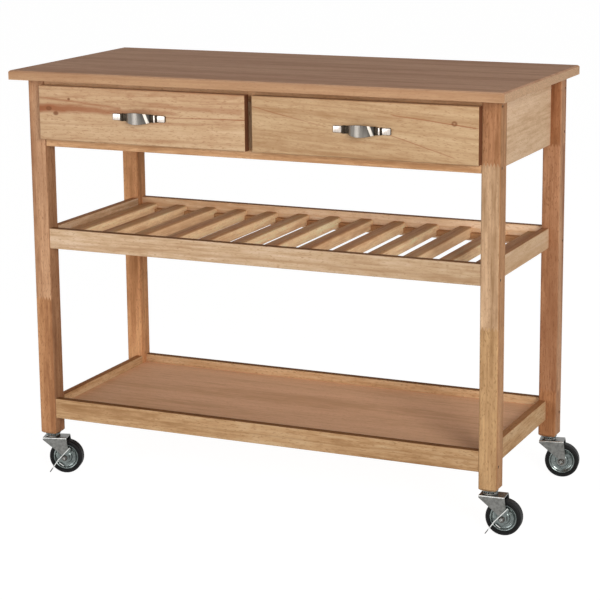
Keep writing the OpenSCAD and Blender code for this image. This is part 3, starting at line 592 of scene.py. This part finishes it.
woodParts = {
    # node: colours, grain direction, where its figure starts, how strong it is; a tint on the faces that look
    # one way, and a slow fade along a board, are painted shade
    "worktop": ("top", "x", (0.4, 0.17, 0.3), 1.00, {
        "gloss": 0.42, "staves": 0.085, "paintedShadeByFace": ((0, -1, 0), "#ECEEE2")}),
    "case_rail_upper": ("caseRail", "x", (0.3, 0.11, 0.4), 1.15, {}),
    "case_rail_lower": ("caseRail", "x", (1.2, 0.35, 0.1), 1.15, {}),
    "case_back": ("side", "x", (2.2, 0.15, 0.7), 1.15, {}),
    "case_side_left": ("side", "y", (0.7, 0.9, 0.2), 1.00, {}),
    "case_side_right": ("side", "y", (1.9, 0.3, 0.5), 0.90, {}),
    "case_partition": ("legPale", "z", (0.4, 0.2, 0.9), 1.15, {}),
    "slat_rail_front": ("railPale", "x", (3.3, 0.21, 0.64), 1.15, {
        "paintedShadeByFace": shelfTopPaintedShade, "paintedShadeFade": (0, -0.4, 0.4, "#EBEBE9")}),
    "slat_rail_rear": ("railRear", "x", (4.1, 0.77, 0.2), 1.15, {"paintedShadeByFace": shelfTopPaintedShade}),
    "slat_rail_left": ("railPale", "y", (5.3, 0.4, 0.9), 1.15, {"paintedShadeByFace": sideRailTopPaintedShade}),
    "slat_rail_right": ("railSide", "y", (6.2, 0.1, 0.3), 1.00, {"paintedShadeByFace": sideRailTopPaintedShade}),
    "base_rail_front": ("railTan", "x", (7.7, 0.55, 0.15), 1.10, {
        "paintedShadeByFace": shelfTopPaintedShade, "paintedShadeFade": (0, -0.4, 0.4, "#EFEEEC")}),
    "base_rail_rear": ("railTan", "x", (8.4, 0.32, 0.81), 1.10, {"paintedShadeByFace": shelfTopPaintedShade}),
    "base_rail_left": ("railTan", "y", (9.1, 0.12, 0.42), 1.15, {"paintedShadeByFace": sideRailTopPaintedShade}),
    "base_rail_right": ("railTan", "y", (9.9, 0.64, 0.73), 1.15, {"paintedShadeByFace": sideRailTopPaintedShade}),
    "leg_front_left": ("legRed", "z", (0.2, 0.5, 0.1), 0.9, {
        "paintedShadeByFace": ((1, 0, 0), "#DCD6D0"), "lengths": ((0.0, "#F4E7D7"), (0.41, "#FFFFFF"))}),
    "leg_front_right": ("legPale", "z", (1.4, 0.9, 0.6), 0.8, {
        "paintedShadeByFace": ((1, 0, 0), "#E2CEBE"),
        "lengths": ((0.0, "#E4DBCA"), (0.437, "#F5F4F6"), (0.768, "#DCC2B4"))}),
    "leg_rear_left": ("legTan", "z", (2.6, 0.3, 0.8), 0.85, {}),
    "leg_rear_right": ("legRed", "z", (3.8, 0.1, 0.4), 0.9, {
        "paintedShadeByFace": ((1, 0, 0), "#EFE8E4"),
        "lengths": ((0.0, "#E3D1C0"), (0.2, "#E0D2C9"), (0.749, "#D2BEB0"))}),
    "slats": ("slat", "y", (0.6, 0.3, 0.5), 1.15, {"staves": 0.079, "paintedShadeByFace": ((0, 0, 1), "#C8B0A0")}),
    "slat_bearers": ("bearer", "x", (1.1, 0.6, 0.2), 1.15, {}),
    "base_bearers": ("bearer", "x", (2.1, 0.4, 0.9), 1.15, {}),
    "base_panel": ("shelf", "x", (2.4, 0.4, 0.8), 0.90, {
        "gloss": 0.5, "staves": 0.1, "paintedShadeFade": (1, 0.19, -0.17, "#EAE9E8")}),
    "drawer_front_left": ("drawerRed", "x", (0.9, 0.31, 0.18), 0.88, {
        "tilt": 0.02,
        "marks": (((-0.53, -0.17), (0.831, 0.838), (0.014, 0.005), (1.0, 0.4), 0.02),
                  ((-0.52, -0.31), (0.857, 0.841), (0.003, 0.004), (0.45, 0.5), 0.006),
                  ((-0.25, -0.02), (0.85, 0.844), (0.006, 0.008), (0.3, 0.4), 0.012),
                  ((-0.21, -0.01), (0.827, 0.83), (0.0018, 0.0016), (0.5, 0.85), 0.004)),
        "knots": ((-0.4715, 0.823, 0.008, 0.0055, 0.85), (-0.4885, 0.833, 0.009, 0.006, 0.6),
                  (-0.4385, 0.855, 0.004, 0.0035, 0.8))}),
    "drawer_front_right": ("drawer", "x", (3.6, 0.83, 0.47), 0.88, {
        "tilt": -0.05,
        "marks": (((0.3, 0.487), (0.857, 0.838), (0.0018, 0.0018), (0.6, 0.8), 0.004),
                  ((0.295, 0.44), (0.818, 0.776), (0.0018, 0.0016), (0.6, 0.5), 0.006),
                  ((-0.006, 0.16), (0.86, 0.825), (0.0016, 0.0016), (0.6, 0.3), 0.004)),
        "knots": ((0.4355, 0.8455, 0.0075, 0.0065, 0.25),)}),
    "drawer_back_left": ("box", "x", (0.5, 0.2, 0.7), 1.15, {}),
    "drawer_back_right": ("box", "x", (1.5, 0.7, 0.3), 1.15, {}),
    "drawer_sides_left": ("box", "y", (2.5, 0.9, 0.1), 1.15, {}),
    "drawer_sides_right": ("box", "y", (3.5, 0.1, 0.8), 1.15, {}),
    "drawer_bottom_left": ("box", "x", (4.5, 0.5, 0.5), 0.90, {}),
    "drawer_bottom_right": ("box", "x", (5.5, 0.6, 0.6), 0.90, {}),
    "dowels": ("box", "y", (0.1, 0.1, 0.1), 0.30, {}),
}
for node, (tones, grain, start, figure, more) in woodParts.items():
    wood = makeRubberwood("lacquered rubberwood " + node, woodSetup[tones], grain, start, figure, **more)
    dressNode(node, wood)
print("wood done")

# metal, rubber and paint

metalSetup = {
    # light and dark tone, roughness, and the mottle's cells per metre along Z and across it
    "bow": ("#E4DCD2", "#C8C0B5", 0.3, 40, 900),
    "polished": ("#CEC4BA", "#B9AFA6", 0.28, 60, 500),
    # antiqued nickel, used also as painted shade on the handles
    "antique": ("#40382F", "#2B251F", 0.45, 300, 300),
    "zinc": ("#7F7F7C", "#696966", 0.36, 160, 160),
    # painted highlight: zinc made bright on bends and edges
    "highlightPaintedZinc": ("#E4E5E2", "#C9CAC6", 0.26, 160, 160),
    "steel": ("#5E5B57", "#484542", 0.45, 300, 300),
    # painted shade: the pedal toe's dark tone
    "toe": ("#312F2C", "#252321", 0.5, 300, 300),
    "disc": ("#7B8381", "#646C6B", 0.2, 120, 120),
    "swing": 0.16,       # how much the mottle changes the roughness
    # painted reflection: bright and dark tints along a handle, from its left to its right end: places and
    # tones
    "bands": ((0.0, 0.36), (0.6, 0.34), (0.76, 0.16), (0.825, 0.11), (0.845, 1.0), (0.905, 1.0),
              (0.925, 0.11), (1.0, 0.11)),
    "bandLean": 0.3, "bandReach": 0.03,      # how far the tints lean, and half their length in metres
}


def makeMetal(name, look, metallic=1.0, bands=()):
    # plated steel or zinc casting: soft mottle, or fine brush lines where along and across differ
    light, dark, roughness, along, across = look
    material, add = newMaterial(name)
    coord = add("TexCoord")
    place = add("Mapping", {"Vector": coord.outputs["Object"], "Scale": (across, across, along)})
    mottle = add("TexNoise", {"Vector": place, "Scale": 1.0, "Detail": 3.0, "Roughness": 0.6})
    skin = add("ValToRGB", {"Fac": mottle}, [(0.35, dark), (0.6, light)])
    if bands:
        # painted reflection: the drawers' handles are alike, so both wrap onto the same stretch of the tints
        lean, reach = metalSetup["bandLean"], metalSetup["bandReach"]
        half = cart["handleOut"] * mm
        middle = (cart["handleOut"] + cart["middle"] + lean * cart["handleUp"]) * mm
        parts = add("SeparateXYZ", [coord.outputs["Object"]])
        leaning = add("Math", [parts.outputs["Z"], lean, parts.outputs["X"]], operation="MULTIPLY_ADD")
        place = add("Math", [leaning, middle + half, middle - half], operation="WRAP")
        share = add("MapRange", {"Value": place, "From Min": middle - reach, "From Max": middle + reach})
        tints = add("ValToRGB", {"Fac": share}, bands)
        skin = add("Mix", {"Factor": 1.0, 6: skin, 7: tints}, **tinted)
    swing = metalSetup["swing"]
    rough = add("Math", [mottle, swing, roughness - swing / 2], operation="MULTIPLY_ADD")
    bump = add("Bump", {"Height": mottle, "Strength": 0.08, "Distance": 0.0002})
    shader = add("BsdfPrincipled", {"Base Color": skin, "Metallic": metallic, "Roughness": rough,
        "Normal": bump})
    add("OutputMaterial", {"Surface": shader})
    return material


bowNickelPaintedReflection = makeMetal("nickel bow, darkened and rubbed bright in bands", metalSetup["bow"],
    bands=metalSetup["bands"])
antiqueNickelAndShade = makeMetal("antiqued nickel, also painted shade", metalSetup["antique"])
polishedNickel = makeMetal("polished nickel plate", metalSetup["polished"])
highlightPaintedZinc = makeMetal("zinc plate with a painted highlight on bends and edges", metalSetup["highlightPaintedZinc"])
zincPlate = makeMetal("bright zinc plate on pressed steel", metalSetup["zinc"])
darkSteel = makeMetal("dark zinc screw steel", metalSetup["steel"])
toePaintedShadeSteel = makeMetal("pedal toe, painted dark as shade", metalSetup["toe"], metallic=0.6)
discPaint = makeMetal("grey-green coated wheel disc", metalSetup["disc"], metallic=0.75)

# vulcanised rubber: near black, dull, slightly dusty on the tread
blackRubber, add = newMaterial("black tyre rubber")
coord = add("TexCoord")
dust = add("TexNoise", {"Vector": coord.outputs["Object"], "Scale": 190.0, "Detail": 4.0,
    "Roughness": 0.65})
skin = add("ValToRGB", {"Fac": dust}, [(0.4, "#070707"), (0.75, "#141415")])
rough = add("Math", [dust, 0.2, 0.45], operation="MULTIPLY_ADD")
bump = add("Bump", {"Height": dust, "Strength": 0.15, "Distance": 0.0003})
shader = add("BsdfPrincipled", {"Base Color": skin, "Roughness": rough, "Normal": bump, "IOR": 1.52,
    "Specular IOR Level": 0.18})
add("OutputMaterial", {"Surface": shader})

# baked epoxy on rolled steel: brown with a faint orange peel
brownCoat, add = newMaterial("brown epoxy coat")
coord = add("TexCoord")
peel = add("TexNoise", {"Vector": coord.outputs["Object"], "Scale": 420.0, "Detail": 2.0})
skin = add("ValToRGB", {"Fac": peel}, [(0.35, "#524033"), (0.6, "#5E4A3B")])
bump = add("Bump", {"Height": peel, "Strength": 0.1, "Distance": 0.0002})
shader = add("BsdfPrincipled", {"Base Color": skin, "Roughness": 0.35, "Normal": bump})
add("OutputMaterial", {"Surface": shader})

for node in ("case_runners", "drawer_runners_left", "drawer_runners_right"):
    dressNode(node, brownCoat)
for node in ("wood_screws", "handle_screws_left", "handle_screws_right"):
    dressNode(node, darkSteel)
print("metal, rubber and paint done")

# casters, drawn at the swivel axis: the wheel trails towards +X and its outer side is -Y

wheelAt = (cart["trail"], 0, cart["axleUp"])
swivelAt = (0, 0, 0)

tyre = {
    # radius and distance from the wheel's middle plane, one half
    "half": [(28.5, 9.3), (28.9, 11.2), (29.8, 12.0), (31.5, 12.0), (31.9, 11.55), (32.3, 12.0), (34.3, 12.0),
             (35.5, 11.75), (36.6, 11.05), (37.25, 10.0), (37.5, 8.8), (37.5, 6.5), (37.1, 6.1), (37.5, 5.7)],
    "steps": 96,
}
hub = {
    # bore, boss, bearing cap, valley, web and the rolled lip that holds the tyre
    "half": [(4.1, 15.7), (8.8, 15.7), (9.5, 15.1), (9.7, 11.7), (10.3, 11.2), (12.2, 11.0), (13.1, 10.3),
             (13.7, 8.2), (14.8, 7.0), (16.2, 6.7), (20.5, 7.0), (23.4, 7.8), (24.9, 9.2), (25.9, 10.2),
             (27.0, 10.6), (28.0, 10.3), (28.5, 9.2)],
    # domed rivets: the first is turned by this part of their pitch
    "rivets": {"count": 6, "ring": 18.6, "radius": 2.1, "from": 7.0, "rise": 1.5, "turned": 0.35},
    "steps": 96,
}


def mirroredProfile(half):
    return half + [(r, -n) for r, n in reversed(half)]


tyreMaster = lathe("tyreMaster", mirroredProfile(tyre["half"]), wheelAt, "Y", tyre["steps"])
dress(tyreMaster, blackRubber)

hubMaster = lathe("hubMaster", mirroredProfile(hub["half"]), wheelAt, "Y", hub["steps"])
rivet = hub["rivets"]
domes = []
for i in range(rivet["count"]):
    angle = math.tau * (i + rivet["turned"]) / rivet["count"]
    for face in (-1, 1):
        place = Vector((wheelAt[0] + rivet["ring"] * math.cos(angle), face * rivet["from"],
            wheelAt[2] + rivet["ring"] * math.sin(angle))) * mm
        bpy.ops.mesh.primitive_uv_sphere_add(
            segments=14, ring_count=8, radius=rivet["radius"] * mm, location=place)
        bpy.ops.transform.resize(value=(1, rivet["rise"] / rivet["radius"], 1))
        domes.append(settle(named("rivet")))
hubMaster = merged("hubMaster", hubMaster, joined("rivets", *domes))
cleanUp(hubMaster, smooth=40)
dress(hubMaster, discPaint)
print("wheel modelled")

fork = {
    "front": -20.0, "rear": 34.0,         # ends of the top plate along the trail
    "out": 18.5, "steel": 2.5,            # outer face of the legs, thickness
    "top": 83.5, "frontLow": 78.0,        # top of the plate, lower end of its front edge
    "tip": 9.5, "tipTurns": range(0, 221, 10),    # radius and degrees of the round end at the axle
    "flank": 6.0,                         # how far above the axle the round end starts
    "bend": 2.2,                          # radius of the pressed bend between plate and leg
    "bendTurn": (0.25, 0.15, 0.97),       # a bend's normal: least Y, least and most Z
    "edge": (0.3, 2, 50),                 # rounding, its segments, and from which angle an edge has it
    "axleBore": (4.1, -25, 25), "stemBore": (5.1, 78, 88),
    "race": [(5.1, 82.5), (15.2, 82.5), (15.9, 83.9), (15.9, 86.1), (15.3, 86.7), (13.4, 86.7), (12.6, 85.9),
             (7.5, 85.6), (5.1, 85.2)],
}
tipArc = []
for degrees in fork["tipTurns"]:
    down = math.radians(-degrees)
    tipArc.append((wheelAt[0] + fork["tip"] * math.cos(down), wheelAt[2] + fork["tip"] * math.sin(down)))
legLine = [(fork["front"], fork["top"]), (fork["rear"], fork["top"]),
    (wheelAt[0] + fork["tip"], wheelAt[2] + fork["flank"]), *tipArc, (fork["front"], fork["frontLow"])]
inner = fork["out"] - fork["steel"]
nearLeg = panelFrom("nearLeg", legLine, -fork["out"], -inner)
farLeg = panelFrom("farLeg", legLine, inner, fork["out"])
topPlate = box(
    "topPlate", (fork["front"], -inner, fork["top"] - fork["steel"]), (fork["rear"], inner, fork["top"]))
forkMaster = merged("forkMaster", nearLeg, farLeg, topPlate)
cleanUp(forkMaster)
edit(forkMaster, "EDGE")
pick(lambda e: liesAt(e, 2, fork["top"]) and (liesAt(e, 1, fork["out"]) or liesAt(e, 1, -fork["out"])),
    "edges")
bevelPicked(fork["bend"], segments=4)
leave()
bore(forkMaster, fork["axleBore"], wheelAt, "Y")
bore(forkMaster, fork["stemBore"], swivelAt, "Z")
softenEdges(forkMaster, *fork["edge"])
forkMaster = merged("forkMaster", forkMaster, lathe("raceRing", fork["race"], swivelAt, "Z", steps=64))
cleanUp(forkMaster, smooth=40)
dress(forkMaster, zincPlate, highlightPaintedZinc)
edit(forkMaster)
bendFrom = (fork["top"] - fork["bend"] - slack) * mm
leastY, leastZ, mostZ = fork["bendTurn"]
pick(lambda face: face.calc_center_median().z > bendFrom and abs(face.normal.y) > leastY
     and leastZ < face.normal.z < mostZ)
paintPicked(1)       # painted highlight: the pressed bends are made bright
leave()
print("fork modelled")

stem = {
    # rivet head under the plate, neck, ball cup, flange under the leg and the stem inside it
    "profile": [(0, 78.5), (7.2, 78.5), (8.0, 79.2), (8.0, 80.7), (5.0, 80.7), (5.0, 87.0), (10.9, 87.0),
                (11.5, 87.5), (12.0, 90.0), (15.7, 90.2), (17.0, 91.3), (17.0, 92.3), (16.3, 93.0),
                (5.0, 93.0), (5.0, 124.0), (4.0, 125.0), (0, 125.0)],
    "balls": {"count": 18, "ring": 14.0, "radius": 1.7, "up": 88.55},
}
stemMaster = lathe("stemMaster", stem["profile"], swivelAt, "Z", steps=64, closed=False)
dress(stemMaster, zincPlate)
ball = stem["balls"]
ballRing = []
for i in range(ball["count"]):
    angle = math.tau * i / ball["count"]
    place = [v * mm for v in (ball["ring"] * math.cos(angle), ball["ring"] * math.sin(angle), ball["up"])]
    bpy.ops.mesh.primitive_ico_sphere_add(subdivisions=2, radius=ball["radius"] * mm, location=place)
    bpy.ops.object.shade_smooth()
    piece = settle(named("ball"))
    dress(piece, discPaint)
    ballRing.append(piece)
stemMaster = joined("stemMaster", stemMaster, *ballRing)
print("stem and balls modelled")

axle = {
    # where the washer starts: outside the brake lever in front, on the fork at the rear
    "from": {"f": 20.9, "r": 18.5},
    # radius and distance from the wheel's middle plane for the point, and from "from" for the washer
    "point": [(0, -25.0), (3.2, -25.0), (4.0, -24.2)],
    "washer": [(4.0, 0), (6.5, 0), (6.5, 0.9), (6.2, 1.2), (0, 1.2)],
    "head": 6.5, "headFrom": 0.8, "headTo": 4.0, "rim": 1.8,     # the head's painted highlight stops a rim of this width short of its edge
    "nut": 7.2, "nutFrom": 18.5, "nutTo": 24.0, "chamfer": 0.9,
}


def hexNut(name, radius, y0, y1, outward):
    # hexagon between y0 and y1 with its outer rim chamfered
    bpy.ops.mesh.primitive_cylinder_add(
        vertices=6, radius=radius * mm, depth=(y1 - y0) * mm, rotation=(math.pi / 2, 0, 0),
        location=(wheelAt[0] * mm, (y0 + y1) / 2 * mm, wheelAt[2] * mm))
    piece = settle(named(name))
    edit(piece, "EDGE")
    pick(lambda e: liesAt(e, 1, y0 if outward < 0 else y1), "edges")
    bevelPicked(axle["chamfer"], segments=3)
    leave()
    return piece


def makeAxle(name, out):
    # bolt with a washer under its hexagon head outside, and a nut on the far side
    headTop = out + axle["headTo"]
    profile = axle["point"] + [(r, out + n) for r, n in axle["washer"]]
    piece = lathe(name, profile, wheelAt, "Y", steps=40, closed=False)
    head = hexNut("head", axle["head"], -headTop, -out - axle["headFrom"], -1)
    nut = hexNut("nut", axle["nut"], axle["nutFrom"], axle["nutTo"], 1)
    piece = merged(name, piece, head, nut)
    cleanUp(piece, smooth=30)
    dress(piece, darkSteel, highlightPaintedZinc)
    edit(piece)
    pick(lambda face: face.calc_center_median().y < (slack - headTop) * mm)
    bpy.ops.mesh.inset(thickness=axle["rim"] * mm)
    paintPicked(1)       # painted highlight: the middle of the head's flat front is made bright
    leave()
    return piece


axleMasters = {row: makeAxle("axle" + row, out) for row, out in axle["from"].items()}
print("axles modelled")

lever = {
    "plateIn": 18.8, "steel": 1.8, "reach": 11.0,       # inner face, thickness, reach of the pedal flange
    # the lever seen from outside, from the wheel's centre
    "plate": [(-13.6, -0.6), (12.0, 26.2), (13.8, 24.6), (15.0, 21.9), (9.0, 7.0), (8.6, -5.0), (2.0, -13.5),
              (-10.0, -10.5), (-12.8, -6.5)],
    "strip": [(12.4, 25.9), (-13.1, -1.4), (-15.4, -4.6), (-31.2, -27.2), (-34.0, -31.3)],
    "ear": [(-11.0, -9.5), (-1.1, -16.2)], "earReach": 6.5,
    "tipLong": 3.5, "tipNarrower": 5.0,  # the flange narrows towards its upper tip
    "endLong": 1.9, "endRound": 3.2,     # round corners of the toe
    "bore": (4.1, 15, 25), "edge": (0.35, 2, 40),
    "toe": 26.0,                         # from the wheel's centre to where the toe's painted shade starts
    "plain": 0.4,                        # how far from the plate the flange's painted highlight starts
}


def stripOutline(points, thick):
    # a ribbon of even thickness along the points, its first edge on them
    side = []
    for i, point in enumerate(points):
        before = Vector(points[max(i - 1, 0)])
        after = Vector(points[min(i + 1, len(points) - 1)])
        run = (after - before).normalized()
        side.append(tuple(Vector(point) + Vector((run.y, -run.x)) * thick))
    return list(points) + side[::-1]


def fromWheel(points):
    return [(wheelAt[0] + a, wheelAt[2] + b) for a, b in points]


near, far = -lever["plateIn"], -lever["plateIn"] - lever["reach"]
leverPlate = panelFrom("leverPlate", fromWheel(lever["plate"]), near - lever["steel"], near)
pedal = panelFrom("pedal", fromWheel(stripOutline(lever["strip"], -lever["steel"])), far, near)
edit(pedal, "EDGE")
tipFrom = (wheelAt[0] + lever["strip"][0][0] - lever["tipLong"]) * mm
endTo = (wheelAt[0] + lever["strip"][-1][0] + lever["endLong"]) * mm
pick(lambda e: liesAt(e, 1, far) and all(v.co.x > tipFrom for v in e.verts), "edges")
bpy.ops.transform.translate(value=(0, lever["tipNarrower"] * mm, 0))
pick(lambda e: all(v.co.x < endTo for v in e.verts) and (liesAt(e, 1, far) or liesAt(e, 1, near)), "edges")
bevelPicked(lever["endRound"], segments=4)
leave()
ear = panelFrom("ear", fromWheel(stripOutline(lever["ear"], lever["steel"])), near - lever["earReach"], near)
brakeMaster = merged("brakeMaster", leverPlate, pedal, ear)
bore(brakeMaster, lever["bore"], wheelAt, "Y")
cleanUp(brakeMaster)
softenEdges(brakeMaster, *lever["edge"])
cleanUp(brakeMaster, smooth=40)
dress(brakeMaster, discPaint, highlightPaintedZinc, toePaintedShadeSteel)
edit(brakeMaster)
toeFrom = (wheelAt[0] - lever["toe"]) * mm
highlightFrom = (near - lever["steel"] - lever["plain"]) * mm
bpy.ops.mesh.select_all(action="SELECT")
bpy.ops.mesh.bisect(plane_co=(toeFrom, 0, 0), plane_no=(1, 0, 0))
pick(lambda face: face.calc_center_median().y < highlightFrom)
paintPicked(1)       # painted highlight: the flange and its ear are made bright
pick(lambda face: face.calc_center_median().x < toeFrom)
paintPicked(2)       # painted shade: the toe is made dark
leave()
print("brake lever modelled")

stems = []
for corner, (x, y, turn) in cart["legs"].items():
    place = Vector((x + cart["middle"], y, 0)) * mm
    under = Matrix.Translation(place) @ Matrix.Rotation(math.radians(turn), 4, "Z")
    for word, source, body in (("tyre", tyreMaster, "wheel_"), ("hub", hubMaster, "wheel_"),
            ("fork", forkMaster, "swivel_"), ("axle", axleMasters[corner[0]], "swivel_"),
            ("brake", brakeMaster, "brake_lever_")):
        if word == "brake" and corner[0] == "r":
            continue
        piece = copyTo(source, word + corner.upper(), under)
        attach(piece, body + corner)
        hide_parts(word + "_" + corner)
    stems.append(copyTo(stemMaster, "stem" + corner.upper(), under))
casterStems = joined("casterStems", *stems)
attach(casterStems, "cart")
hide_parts("caster_stems")
for source in (tyreMaster, hubMaster, forkMaster, stemMaster, brakeMaster, *axleMasters.values()):
    bpy.data.objects.remove(source)
print("casters placed")

# drawer handles

handle = {
    "length": 125.0,
    # flat ends: corner and rim are radii; faces that look forward by more than this value are bright, the
    # rest get a dark outline of painted shade
    "tab": {"long": 19.0, "high": 14.0, "thick": 4.0, "corner": 2.5, "rim": 1.1, "shadeOutlineFacing": 0.85},
    # high in its middle and low at its ends; its feet start at foot, its curve at rise, and a lower power
    # makes it squarer
    "arch": {"length": 58.0, "high": 25.0, "low": 17.5, "out": 22.0, "thick": 2.5, "foot": 1.0, "rise": 4,
             "power": 0.62, "columns": 12, "edge": (0.9, 3, 50)},
    "ridge": {"from": 27.5, "to": 43.8, "proud": 5.6, "high": 15.5, "edge": (1.2, 3, 30)},   # beside the arch
    "rib": {"at": 38.3, "wide": 3.8, "proud": 7.4, "high": 16.0, "edge": 1.3},               # on the ridge
}
bow = handle["arch"]
bowHalf = bow["length"] / 2
narrowing = 1 - 2 * bow["thick"] / bow["length"]        # of the arch's inside against its outside


def bowOut(x):
    t = min(1, abs(x) / bowHalf)
    return bow["rise"] + (bow["out"] - bow["rise"]) * max(0.0, math.cos(math.pi / 2 * t)) ** bow["power"]


def bowHigh(x):
    t = min(1, abs(x) / bowHalf)
    return bow["low"] / 2 + (bow["high"] - bow["low"]) / 2 * math.cos(math.pi / 2 * t)


columns = range(-bow["columns"], bow["columns"] + 1)
places = [bowHalf * math.sin(math.pi / 2 * i / bow["columns"]) for i in columns]
outer = [(x, -bowOut(x)) for x in places]
inside = [(x * narrowing, bow["thick"] - bowOut(x)) for x in places]
footIn = bowHalf - bow["thick"]
outline = [(-bowHalf, -bow["foot"]), *outer, (bowHalf, -bow["foot"]), (footIn, -bow["foot"]), *inside[::-1],
    (-footIn, -bow["foot"])]
arch = panelFrom("arch", outline, -bow["high"] / 2, bow["high"] / 2, upright=False)
edit(arch, "VERT")
for x in places:
    for column in {x, x * narrowing}:
        if abs(x) < bowHalf - slack or column == x:
            pick(lambda v: abs(v.co.x - column * mm) < touching and v.co.y < -1.5 * bow["foot"] * mm, "verts")
            bpy.ops.transform.resize(value=(1, 1, bowHigh(x) / (bow["high"] / 2)), center_override=(0, 0, 0))
pick(lambda v: abs(v.co.x) > (footIn - slack) * mm and abs(abs(v.co.z) - bow["high"] / 2 * mm) < touching,
    "verts")
bpy.ops.transform.resize(value=(1, 1, bow["low"] / bow["high"]), center_override=(0, 0, 0))
leave()
cleanUp(arch, smooth=45)
softenEdges(arch, *bow["edge"])
cleanUp(arch, smooth=45)
dress(arch, bowNickelPaintedReflection)
parts = [arch]
tabShape, ridge, rib = handle["tab"], handle["ridge"], handle["rib"]
for side in (-1, 1):
    low = min(side * (handle["length"] / 2 - tabShape["long"]), side * handle["length"] / 2)
    tab = box("tab", (low, -tabShape["thick"], -tabShape["high"] / 2),
        (low + tabShape["long"], 0, tabShape["high"] / 2))
    edit(tab, "EDGE")
    pick(lambda e: abs(e.verts[0].co.y - e.verts[1].co.y) > touching, "edges")
    bevelPicked(tabShape["corner"], segments=5)
    pick(lambda e: liesAt(e, 1, -tabShape["thick"]), "edges")
    bevelPicked(tabShape["rim"], segments=3)
    leave()
    dress(cleanUp(tab, smooth=40), polishedNickel, antiqueNickelAndShade)
    edit(tab)
    pick(lambda face: face.normal.y > -tabShape["shadeOutlineFacing"])
    paintPicked(1)       # painted shade: a dark outline on the rim and the sides
    leave()
    low = min(side * ridge["from"], side * ridge["to"])
    recess = box("recess", (low, -ridge["proud"], -ridge["high"] / 2),
        (low + ridge["to"] - ridge["from"], 0, ridge["high"] / 2))
    softenEdges(recess, *ridge["edge"])
    # the block beside the arch is antiqued dark, and darker still as painted shade
    dress(cleanUp(recess, smooth=40), antiqueNickelAndShade)
    bar = box("rib", (side * rib["at"] - rib["wide"] / 2, -rib["proud"], -rib["high"] / 2),
        (side * rib["at"] + rib["wide"] / 2, 0, rib["high"] / 2))
    edit(bar, "EDGE")
    pick(lambda e: liesAt(e, 1, -rib["proud"]), "edges")
    bevelPicked(rib["edge"], segments=4)
    leave()
    dress(cleanUp(bar, smooth=40), polishedNickel if side > 0 else antiqueNickelAndShade)   # painted shade: the left one is dark
    parts += [tab, recess, bar]
handleMaster = joined("handleMaster", *parts)
for side, sign in (("left", -1), ("right", 1)):
    place = Vector((sign * cart["handleOut"] + cart["middle"], cart["frontFace"], cart["handleUp"])) * mm
    piece = copyTo(handleMaster, "handle" + side.title(), Matrix.Translation(place))
    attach(piece, "drawer_" + side)
    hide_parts("handle_" + side)
bpy.data.objects.remove(handleMaster)
print("handles modelled")

# frame bolts: socket heads sunk into the legs' outer faces

bolt = {
    # head, shank and point: radius and depth from the leg's outer face
    "profile": [(0, 0.6), (2.9, 0.6), (3.4, 1.1), (3.4, 4.6), (2.4, 4.6), (2.4, 61.0), (1.6, 62.0),
                (0, 62.0)],
    "sink": 0.6, "socket": 2.1, "socketDeep": 2.2,
    "rows": ((-199.5, (880, 758, 533, 145)), (221.5, (867, 773, 533, 145))),       # y, heights
}
boltMaster = lathe("boltMaster", bolt["profile"], (0, 0, 0), "Z", steps=24, closed=False)
bpy.ops.mesh.primitive_cylinder_add(vertices=6, radius=bolt["socket"] * mm, depth=2 * bolt["socketDeep"] * mm,
    location=(0, 0, bolt["sink"] * mm))
cutOut(boltMaster, settle(named("socket")))
cleanUp(boltMaster)
dress(boltMaster, darkSteel)
bolts = []
for y, heights in bolt["rows"]:
    for z in heights:
        for sign in (-1, 1):
            inward = Matrix.Rotation(-sign * math.pi / 2, 4, "Y")
            place = Vector((sign * cart["legFace"] + cart["middle"], y, z)) * mm
            bolts.append(copyTo(boltMaster, "bolt", Matrix.Translation(place) @ inward))
frameBolts = joined("frameBolts", *bolts)
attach(frameBolts, "cart")
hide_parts("frame_bolts")
bpy.data.objects.remove(boltMaster)
print("frame bolts placed")

low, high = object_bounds()
